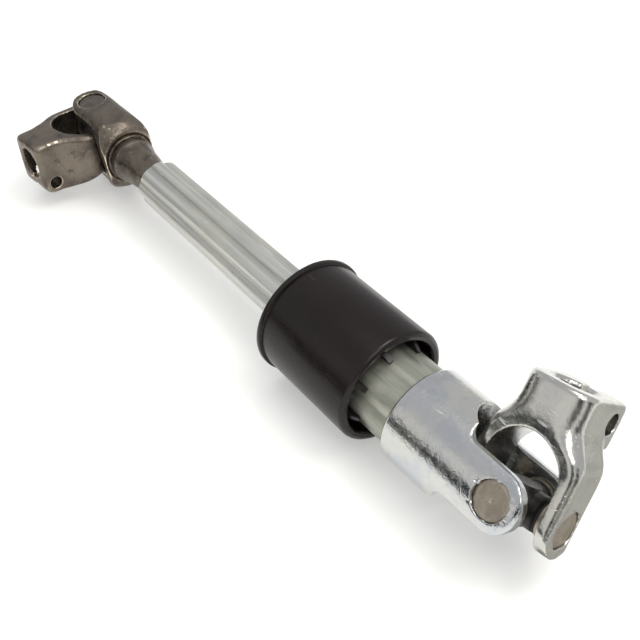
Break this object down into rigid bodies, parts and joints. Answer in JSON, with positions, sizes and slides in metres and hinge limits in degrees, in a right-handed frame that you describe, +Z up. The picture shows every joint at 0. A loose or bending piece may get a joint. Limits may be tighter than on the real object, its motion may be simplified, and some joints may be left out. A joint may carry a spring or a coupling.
{
  "type": "universal joint shaft",
  "caption": "Telescoping steering shaft with a cross-type universal joint and a split clamp yoke at each end, and a round plastic sleeve over the sliding joint.",
  "frame": {"origin": "centre of the sleeve, on the shaft axis", "axes": "+X along the shaft axis towards the lower joint, +Z up; the posed lower arms stand at 143 degrees and the upper arms at 97 degrees from +Y towards +Z"},
  "size_m": [0.3673, 0.0897, 0.0732],
  "materials": {
    "sleeve_plastic": "moulded, semi-gloss",
    "seal_rubber": "satin",
    "fluted_tube_steel": "zinc plated, satin",
    "liner_plastic": "matte",
    "zinc_tube_steel": "zinc plated, bright",
    "zinc_forging": "zinc plated, scuffed",
    "bright_forging": "zinc plated, bright",
    "dark_forging": "bare forged steel, worn edges",
    "cross_steel": "black, oiled",
    "cup_steel": "bare steel, tarnished",
    "needle_steel": "ground"
  },
  "bodies": {
    "outer_shaft": {"outer_tube": "zinc_tube_steel", "lower_tube_yoke": "zinc_forging", "sleeve": "sleeve_plastic", "slide_liner": "liner_plastic", "wiper_seal": "seal_rubber", "lower_cup_near": "cup_steel", "lower_cup_far": "cup_steel", "lower_needles_near": "needle_steel", "lower_needles_far": "needle_steel"},
    "lower_spider": {"lower_cross": "cross_steel", "lower_seal_near": "seal_rubber", "lower_seal_far": "seal_rubber", "lower_seal_right": "seal_rubber", "lower_seal_left": "seal_rubber"},
    "lower_fork": {"lower_clamp_yoke": "bright_forging", "lower_cup_right": "cup_steel", "lower_cup_left": "cup_steel", "lower_needles_right": "needle_steel", "lower_needles_left": "needle_steel"},
    "inner_shaft": {"inner_tube": "fluted_tube_steel", "upper_shaft_yoke": "dark_forging", "upper_cup_near": "cup_steel", "upper_cup_far": "cup_steel", "upper_needles_near": "needle_steel", "upper_needles_far": "needle_steel"},
    "upper_spider": {"upper_cross": "cross_steel", "upper_seal_near": "seal_rubber", "upper_seal_far": "seal_rubber", "upper_seal_right": "seal_rubber", "upper_seal_left": "seal_rubber"},
    "upper_fork": {"upper_clamp_yoke": "dark_forging", "upper_cup_right": "cup_steel", "upper_cup_left": "cup_steel", "upper_needles_right": "needle_steel", "upper_needles_left": "needle_steel"}
  },
  "joints": [
    {"name": "telescope", "type": "slide", "parent": "outer_shaft", "child": "inner_shaft", "axis": [1, 0, 0], "range_m": [-0.015, 0.04]},
    {"name": "lower_fold", "type": "hinge", "parent": "outer_shaft", "child": "lower_spider", "pos_m": [0.097, 0, 0], "axis": [0, -0.7986, 0.6018], "range_deg": [-196, 0]},
    {"name": "lower_tilt", "type": "hinge", "parent": "lower_spider", "child": "lower_fork", "pos_m": [0.097, 0, 0], "axis": [0.9903, 0.0838, 0.1111], "range_deg": [-10, 10]},
    {"name": "upper_fold", "type": "hinge", "parent": "inner_shaft", "child": "upper_spider", "pos_m": [-0.2268, 0, 0], "axis": [0, -0.1219, 0.9925], "range_deg": [-192, 0]},
    {"name": "upper_tilt", "type": "hinge", "parent": "upper_spider", "child": "upper_fork", "pos_m": [-0.2268, 0, 0], "axis": [0.9945, 0.1037, 0.0127], "range_deg": [-4, 7]}
  ]
}
